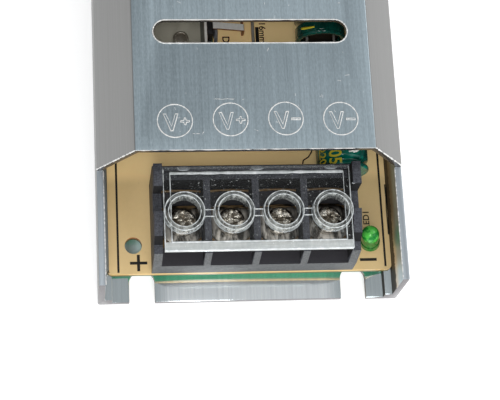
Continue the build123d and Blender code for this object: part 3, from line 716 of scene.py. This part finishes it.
# The small parts: a boxed line capacitor, the bridge rectifier, a can fuse, two dipped discs, two
# chips, four power resistors and a jumper of tinned wire, all with their wires in the board.
box_yellow = Finish("yellow_box")
mould = box_yellow.grain((0.5, 0.5, 0.5), 3)
box_yellow.surface(
    Base_Color=box_yellow.mix(mould, paint(206, 158, 30), paint(226, 180, 52)),
    Roughness=0.3 + mould * 0.15, Normal=box_yellow.bump(mould, 0.02),
)
fuse_brown = Finish("brown_fuse_can")
mould = fuse_brown.grain((0.5, 0.5, 0.5), 3)
fuse_brown.surface(
    Base_Color=fuse_brown.mix(mould, paint(48, 30, 22), paint(76, 50, 36)), Roughness=0.35 + mould * 0.1,
)
dip_black = Finish("black_dip")
orange_peel = dip_black.grain((0.9, 0.9, 0.9), 3)
dip_black.surface(
    Base_Color=dip_black.mix(orange_peel, paint(30, 34, 32), paint(52, 56, 54)),
    Roughness=0.35 + orange_peel * 0.1, Normal=dip_black.bump(orange_peel, 0.08),
)
dip_blue = Finish("blue_dip")
orange_peel = dip_blue.grain((0.9, 0.9, 0.9), 3)
dip_blue.surface(
    Base_Color=dip_blue.mix(orange_peel, paint(20, 74, 150), paint(40, 104, 186)),
    Roughness=0.25 + orange_peel * 0.1, Normal=dip_blue.bump(orange_peel, 0.08),
)
lacquer = Finish("resistor_lacquer")
y = lacquer.place()[1]
drips = lacquer.grain((0.6, 0.6, 0.6), 3)
bands = [1 - abs(y - row).rise(0.35, 0.45) for row in (-1.6, -4.0, -6.2)]
blue_grey = lacquer.mix(drips, paint(112, 146, 154), paint(138, 168, 174))
lacquer.surface(
    Base_Color=lacquer.mix(bands[0] + bands[1] + bands[2], blue_grey, paint(60, 40, 30)),
    Roughness=0.35 + drips * 0.15,
)
for piece, finish in (
    ("line_capacitor", box_yellow), ("bridge_rectifier", epoxy), ("fuse", fuse_brown),
    ("thermistor", dip_black), ("disc_capacitor", dip_blue), ("control_chip", epoxy),
    ("optocoupler", epoxy), ("chip_legs", tinned), ("power_resistors", lacquer),
    ("component_wires", tinned), ("jumper_wire", tinned),
):
    skin(piece, finish)


# The power lamp is a 3 mm light-emitting diode, cast in green-tinted resin round two tinned legs.
# It was soldered in by its legs and leans to the left and back.
resin = Finish("green_resin")
depth = resin.grain((0.8, 0.8, 0.8), 2)
# The dome is painted lighter and the foot darker, and the resin glows faintly: painted light and shade.
dome = resin.place()[2].rise(8.6, 9.4)
shaded_foot = resin.mix(depth, paint(18, 76, 26), paint(58, 128, 54))
lit_dome = resin.mix(depth.rise(0.4, 0.6), paint(20, 118, 40), paint(78, 180, 70))
shade = resin.mix(dome, shaded_foot, lit_dome)
resin.surface(
    Base_Color=shade, Roughness=0.12 + depth * 0.1, Coat_Weight=0.2 + depth * 0.2,
    Emission_Color=shade, Emission_Strength=0.1,
)


def full_dome(x, y, z):
    """The dome is almost as wide as its flange, and a little higher"""
    foot, lean = Vector((24.475, -84.9, 5.66)), Vector((-0.139, 0.240, 0.961))
    under_flange_top, over_flange_top, inside_flange, swell, rise = 0.9, 1.1, 1.7, 1.12, 0.15
    spot = Vector((x, y, z)) - foot
    height = spot.dot(lean)
    outward = spot - height * lean
    if height < under_flange_top or outward.length > inside_flange:
        return x, y, z
    new_height = height + rise if height > over_flange_top else height
    return foot + new_height * lean + swell * outward


skin("power_lamp", resin, nudge=full_dome)
skin("lamp_legs", tinned)


# Each terminal block is one black moulding with barriers between its ways. Under it, tinned brass
# contact plates reach the board. Each way has a square nickel clamp on a pan-headed screw.
moulding = Finish("black_moulding")
x, y, z = moulding.place()
across, along, up = moulding.facing()
speck = moulding.grain((3.2, 3.2, 3.2), 4, 0.7)
flow = moulding.grain((0.15, 0.4, 0.4), 2)
block_front = abs(y).rise(89.2, 89.4)
outside = abs(across).rise(0.5, 0.9) * abs(x - 0.3).rise(18.8, 19.0) + block_front
# The pocket walls are painted near black, a painted shade.
pocket_wall_shade = (1 - up.rise(0.5, 0.9)) * (1 - outside.sum("MINIMUM", outside, 1))
pocket_base = up.rise(0.5, 0.9) * (1 - z.rise(10.5, 10.8))
front_faces = abs(along).rise(0.6, 0.9) * block_front
coarse = speck.rise(0.25, 0.75)
shade = moulding.mix(coarse, paint(34, 35, 39), paint(82, 84, 91))
shade = moulding.mix(flow.rise(0.5, 0.8) * 0.4, shade, paint(74, 76, 84))
front_shade = moulding.mix(coarse, paint(46, 48, 50), paint(98, 100, 101))
shade = moulding.mix(front_faces, shade, front_shade)
shade = moulding.mix(pocket_wall_shade, shade, moulding.mix(speck, paint(18, 18, 19), paint(32, 32, 34)))
shade = moulding.mix(pocket_base, shade, moulding.mix(speck, paint(40, 39, 42), paint(60, 59, 64)))
moulding.surface(
    Base_Color=shade, Roughness=0.42 + speck * 0.2 + pocket_wall_shade * 0.3, Specular_IOR_Level=0.25,
    Normal=moulding.bump(speck, 0.04),
)
# The moulding's eased edges are given a lighter grey.
lighter_edge = Finish("lighter_moulding_edge")
speck = lighter_edge.grain((2.0, 2.0, 2.0), 3)
lighter_edge.surface(
    Base_Color=lighter_edge.mix(speck, paint(50, 51, 57), paint(104, 106, 112)), Roughness=0.4 + speck * 0.2,
)
strip = Finish("tinned_brass_strip")
stain = strip.grain((0.8, 0.8, 0.8), 3)
strip.surface(
    Base_Color=strip.mix(stain, paint(104, 78, 46), paint(170, 142, 104)),
    Metallic=0.8, Roughness=0.34 + stain * 0.2,
)
nickel = Finish("nickel_plate")
tarnish = nickel.grain((0.9, 0.9, 0.9), 3)
scuff = nickel.grain((1.8, 1.8, 1.8), 3)
nickel.surface(
    Base_Color=nickel.mix(tarnish.rise(0.41, 0.58), paint(102, 94, 82), paint(216, 211, 200)),
    Metallic=0.95, Roughness=0.08 + scuff * 0.14, Normal=nickel.bump(scuff, 0.2),
)
clamp_nickel = Finish("worn_nickel_clamp")
tarnish = clamp_nickel.grain((0.9, 0.25, 0.9), 3, 0.6)
scuff = clamp_nickel.grain((2.6, 2.6, 2.6), 2)
stain = clamp_nickel.grain((0.15, 1.6, 0.3), 2)
# The back half of each clamp is painted dark, a painted shade, with brown streaks.
back_half = 1 - abs(clamp_nickel.place()[1]).rise(79.0, 80.6)
worn = clamp_nickel.mix(tarnish.rise(0.4, 0.62), paint(66, 63, 58), paint(196, 190, 180))
stain_and_shade = clamp_nickel.mix(stain.rise(0.5, 0.62), paint(38, 33, 27), paint(150, 124, 88))
clamp_nickel.surface(
    Base_Color=clamp_nickel.mix(back_half, worn, stain_and_shade),
    Metallic=0.9, Roughness=0.3 + scuff * 0.2, Normal=clamp_nickel.bump(scuff, 0.02),
)
whitened = Finish("stress_whitened_moulding")
speck = whitened.grain((2.5, 2.5, 2.5), 3)
whitened.surface(
    Base_Color=whitened.mix(speck.rise(0.3, 0.6), paint(96, 102, 108), paint(214, 220, 224)),
    Roughness=0.5 + speck * 0.2,
)
pitch, pocket_line_half, pocket_line_row, pocket_line_sag, pocket_line_level = 9.5, 4.05, 75.12, 0.25, 10.46
ear_inside, ear_rows, ear_front, ear_foot = 14, (77.0, 78.5), 77.5, 16.86
rib_rows, rib_top, rib_past = (71.86, 73.0), 16.9, 1
blocks = (("output", 4, -1, 0.6), ("input", 3, 1, 0.0))


def upright_ears(x, y, z):
    """The hinge ears' fronts are moulded upright"""
    if abs(x) > ear_inside and ear_rows[0] < abs(y) < ear_rows[1] and z > ear_foot:
        return x, math.copysign(ear_front, y), z
    return x, y, z


def moulded(name, low, high):
    """A rib of the black moulding between two corners, with lighter grey edges"""
    form = bmesh.new()
    bmesh.ops.create_cube(form, size=1)
    for vertex in form.verts:
        vertex.co = Vector([a + (b - a) * (c + 0.5) for a, b, c in zip(low, high, vertex.co)])
    bmesh.ops.bevel(
        form, geom=form.edges[:], offset=0.12, offset_type="OFFSET", segments=2, profile=0.5,
        affect="EDGES", clamp_overlap=True, material=1,
    )
    for face in form.faces:
        face.smooth = True
    bmesh.ops.scale(form, vec=(0.001, 0.001, 0.001), verts=form.verts)
    mesh = bpy.data.meshes.new(name)
    form.to_mesh(mesh)
    form.free()
    return settle(name, mesh, "chassis", "black_moulding", moulding, lighter_edge)


def way_centres(ways, middle):
    """The places of a block's screws across the case"""
    return [middle + (n - (ways - 1) / 2) * pitch for n in range(ways)]


for end, ways, sign, middle in blocks:
    # A thin brown line of the brass finish runs across the back of each pocket.
    pocket_back_lines = []
    for centre in way_centres(ways, middle):
        shares = [n / 8 - 1 for n in range(17)]
        pocket_back_lines.append([
            (centre + pocket_line_half * s, sign * (pocket_line_row - pocket_line_sag * (1 - s * s)), pocket_line_level)
            for s in shares
        ])
    bead(
        end + "_brown_pocket_lines", pocket_back_lines, 0.3, "chassis", "nickel_brass", strip,
        closed=False, wander=0.15,
    )
    skin(end + "_terminal_body", moulding, lighter_edge, ease=0.1, nudge=upright_ears)
    half = ways * pitch / 2 + rib_past
    near, far = sorted(sign * row for row in rib_rows)
    moulded(end + "_back_rib", (middle - half, near, board_top), (middle + half, far, rib_top))
    skin(end + "_contacts", strip, ease=0.05)
    for number in range(1, ways + 1):
        skin(f"{end}_clamp_{number}", clamp_nickel, ease=0.08)
        skin(f"{end}_screw_{number}", nickel, ease=0.06)


# A clear moulded cover is hinged over each block. Its rims, its raised rings and their rib catch
# the light as white lines, its front strip is milky, and the flat plate shows what is below it.
clear = Finish("clear_plastic")
x, y, z = clear.place()
up = clear.facing()[2]
swirl = clear.grain((0.5, 0.5, 0.5), 3)
streak = clear.grain((1.2, 0.5, 0.3), 4, 0.7)
dust = clear.grain((2.6, 2.6, 2.6), 1).rise(0.71, 0.74)
upright = 1 - abs(up).rise(0.5, 0.9)
ring_wall = z.rise(19.72, 19.85)
front_strip = abs(y).rise(88.0, 88.1)
level_lines = clear.grain((0.12, 2.4, 0.5), 3, 0.7)
screw_row, cover_middle = 82.4, 0.6
collar = 1 - abs(abs(y) - screw_row).rise(3.75, 3.9)
collar = upright * collar * (1 - abs(x - cover_middle).rise(17.8, 18.0))
# Upright faces, ring walls and collars are painted whitish, a painted reflection; the front strip and
# the dust specks are milky.
milk_and_sheen = 0.012 + upright * 0.18 + ring_wall * (0.04 + streak.rise(0.3, 0.8) * 0.42)
milk_and_sheen = milk_and_sheen + front_strip * (0.4 + level_lines * 0.4) + dust * 0.5
milk_and_sheen = milk_and_sheen + collar * (0.12 + streak.rise(0.35, 0.65) * 0.3)
ring_shade = clear.mix(streak.rise(0.3, 0.7), paint(100, 105, 106), paint(188, 192, 188))
plate_shade = clear.mix(streak, paint(178, 184, 185), paint(238, 242, 240))
ring_share = ring_wall.sum("MAXIMUM", ring_wall, collar)
clear.surface(
    Base_Color=clear.mix(ring_share, plate_shade, ring_shade),
    Roughness=0.1 + swirl * 0.06 + collar * 0.3, Alpha=milk_and_sheen.sum("MINIMUM", milk_and_sheen, 0.92),
)
soft_edge = Finish("clear_cover_edge")
# The cover's eased edges are painted whitish, a painted highlight.
edge_sheen = soft_edge.grain((0.8, 0.8, 0.8), 3)
side_lines = abs(soft_edge.place()[1]).rise(73.4, 73.8)
soft_edge.surface(
    Base_Color=soft_edge.mix(edge_sheen, paint(150, 158, 162), paint(226, 232, 234)),
    Roughness=0.3 + edge_sheen * 0.15, Alpha=0.08 + side_lines * (0.2 + edge_sheen * 0.35),
)
white_edge = Finish("bright_cover_line")
glint = white_edge.grain((0.9, 0.9, 0.9), 3)
white_edge.surface(
    Base_Color=white_edge.mix(glint, paint(176, 184, 186), paint(250, 253, 253)),
    Roughness=0.15 + glint * 0.1, Alpha=0.5 + glint * 0.5,
)
rim_level, edge_level, foot_level, rib_level, ring_level = 19.45, 19.35, 19.2, 19.68, 21.24
ring_outside, ring_inside, ring_foot, rib_half, side_gap = 3.8, 3.09, 3.9, 0.66, 0.875
left_back, right_back, inner_back, inner_front, front_edge = 74.4, 73.2, 74.25, 88.05, 89.6
mark_row, mark_size = 73.38, (1.25, 0.48, 0.05)
for end, ways, sign, middle in blocks:
    cover = end + "_cover"
    skin(cover, clear, soft_edge, ease=0.15)
    centres, half = way_centres(ways, middle), ways * pitch / 2 - side_gap
    left, right = middle - half, middle + half
    left_line, inner_left = left + 0.08, left + 1.38
    right_line, inner_right = right - 0.08, right - 1.25
    bead(cover + "_side_lines", [
        line((x, sign * back_row, rim_level), (x, sign * front_row, rim_level), 24)
        for x, back_row, front_row in (
            (left_line, left_back, front_edge), (right_line, right_back, front_edge),
            (inner_left, inner_back, inner_front), (inner_right, inner_back, inner_front),
        )
    ], 0.1, cover, "clear_cover", white_edge, closed=False, wander=0.45)
    cross_paths = [
        line((first, sign * row, level), (last, sign * row, level), 24)
        for first, last, row, level in (
            (inner_left, inner_right, inner_back, edge_level), (left, right, front_edge, edge_level),
            (inner_left, inner_right, inner_front, rim_level),
        )
    ]
    bead(
        cover + "_back_line", cross_paths[:1], 0.3, cover, "clear_cover", white_edge,
        flat=0.6, closed=False, wander=0.2,
    )
    bead(
        cover + "_front_lines", cross_paths[1:], 0.17, cover, "clear_cover", white_edge,
        closed=False, wander=0.4,
    )
    ring_paths = [
        circle(centre, sign * screw_row, radius, ring_level, 64)
        for centre in centres for radius in (ring_outside, ring_inside)
    ]
    foot_paths = [circle(c, sign * screw_row, ring_foot, foot_level, 64) for c in centres]
    rib_paths = []
    for here, ahead in zip(centres, centres[1:]):
        for row in (sign * screw_row - rib_half, sign * screw_row + rib_half):
            first, last = here + ring_outside, ahead - ring_outside
            rib_paths.append(line((first, row, rib_level), (last, row, rib_level), 8))
    bead(cover + "_ring_lines", ring_paths, 0.085, cover, "clear_cover", white_edge, wander=0.6)
    bead(cover + "_ring_foot_lines", foot_paths, 0.09, cover, "clear_cover", soft_edge, wander=0.4)
    bead(
        cover + "_rib_lines", rib_paths, 0.1, cover, "clear_cover", white_edge,
        closed=False, wander=0.4,
    )
    for number, share in enumerate((0.11, 0.505, 0.9)):
        blob(
            f"{cover}_ejector_mark_{number}",
            (left + 2 * half * share, sign * mark_row, rim_level + 0.07), mark_size,
            3.0 + number, cover, "clear_cover", soft_edge, 0.05,
        )
    for number, (row, reach) in enumerate(((73.9, 0.5), (75.0, 0.6))):
        blob(
            f"{cover}_hinge_flash_{number}", (left + 0.05, sign * row, rim_level),
            (0.16, reach, 0.1), 4.0 + number, cover, "clear_cover", white_edge, 0.8,
        )
    blob(
        end + "_ear_chip", (right + 0.35, sign * 77.4, 21.6), (0.35, 0.12, 0.1), 6.0,
        "chassis", "black_moulding", whitened, 0.8,
    )


# The studio is a plain pale table in even light. Five soft lamps stand beside the camera, in front
# and to the right, and two of them give no bright patches in the metal. The camera stands where
# the photograph was taken from.
table_half, table_level = 3, -0.0002
table_corners = [
    (x * table_half, y * table_half, table_level) for x, y in ((-1, -1), (1, -1), (1, 1), (-1, 1))
]
table = bpy.data.meshes.new("table")
table.from_pydata(table_corners, [], [(0, 1, 2, 3)])
table_finish = Finish("pale_table")
paper = table_finish.grain((0.01, 0.01, 0.01), 2)
white = table_finish.mix(paper, paint(243, 243, 243), paint(248, 248, 248))
table_finish.surface(
    Base_Color=white, Roughness=0.8 + paper * 0.1, Emission_Color=white, Emission_Strength=0.45,
)
table.materials.append(table_finish.material)
table_top = bpy.data.objects.new("table", table)
bpy.context.scene.collection.objects.link(table_top)

world = bpy.data.worlds.new("studio")
bpy.context.scene.world = world
world.use_nodes = True
sky = world.node_tree.nodes["Background"]
sky.inputs["Color"].default_value = (0.97, 0.985, 1.0, 1.0)
sky.inputs["Strength"].default_value = 0.5


def softbox(name, spot, aim, size, power, mirrored=True):
    """A soft lamp in metres, which can be kept out of what the metal mirrors"""
    light = bpy.data.lights.new(name, "AREA")
    light.shape = "RECTANGLE"
    light.size, light.size_y = size
    light.energy = power
    lamp = bpy.data.objects.new(name, light)
    lamp.location = spot
    lamp.rotation_euler = (Vector(aim) - Vector(spot)).to_track_quat("-Z", "Y").to_euler()
    lamp.visible_glossy = mirrored
    bpy.context.scene.collection.objects.link(lamp)


softbox("beside_camera", (-0.06, -0.27, 0.52), (0, -0.06, 0.01), (0.14, 0.14), 0.5)
softbox("right", (0.6, -0.25, 0.5), (0, -0.05, 0), (0.4, 0.4), 0.8)
softbox("front", (0.05, -0.6, 0.4), (0, -0.07, 0), (0.6, 0.3), 1.5, mirrored=False)
softbox("low_front", (0.05, -0.75, 0.15), (0, -0.07, 0), (0.7, 0.2), 3.0, mirrored=False)
softbox("right_rear", (0.65, 0.25, 0.6), (0, -0.05, 0), (0.4, 0.4), 1.6)

camera_place = (-0.036875, -0.175192, 0.318925)
azimuth, elevation, roll = -0.3606, 1.2429, 0.3281
level_reach = math.cos(elevation)
back = Vector((
    math.sin(azimuth) * level_reach, -math.cos(azimuth) * level_reach, math.sin(elevation),
))
level_right = (-back).cross(Vector((0, 0, 1))).normalized()
level_up = level_right.cross(-back)
right = math.cos(roll) * level_right + math.sin(roll) * level_up
upward = math.cos(roll) * level_up - math.sin(roll) * level_right
photo_width, focal_pixels = 500, 1650.793
lens = bpy.data.cameras.new("camera")
lens.sensor_width = 36
lens.lens = focal_pixels * lens.sensor_width / photo_width
lens.clip_start, lens.clip_end = 0.01, 10
camera = bpy.data.objects.new("camera", lens)
turned = Matrix((right, upward, back)).transposed().to_4x4()
camera.matrix_world = Matrix.Translation(camera_place) @ turned
bpy.context.scene.collection.objects.link(camera)
bpy.context.scene.camera = camera
bpy.context.scene.view_settings.view_transform = "Standard"
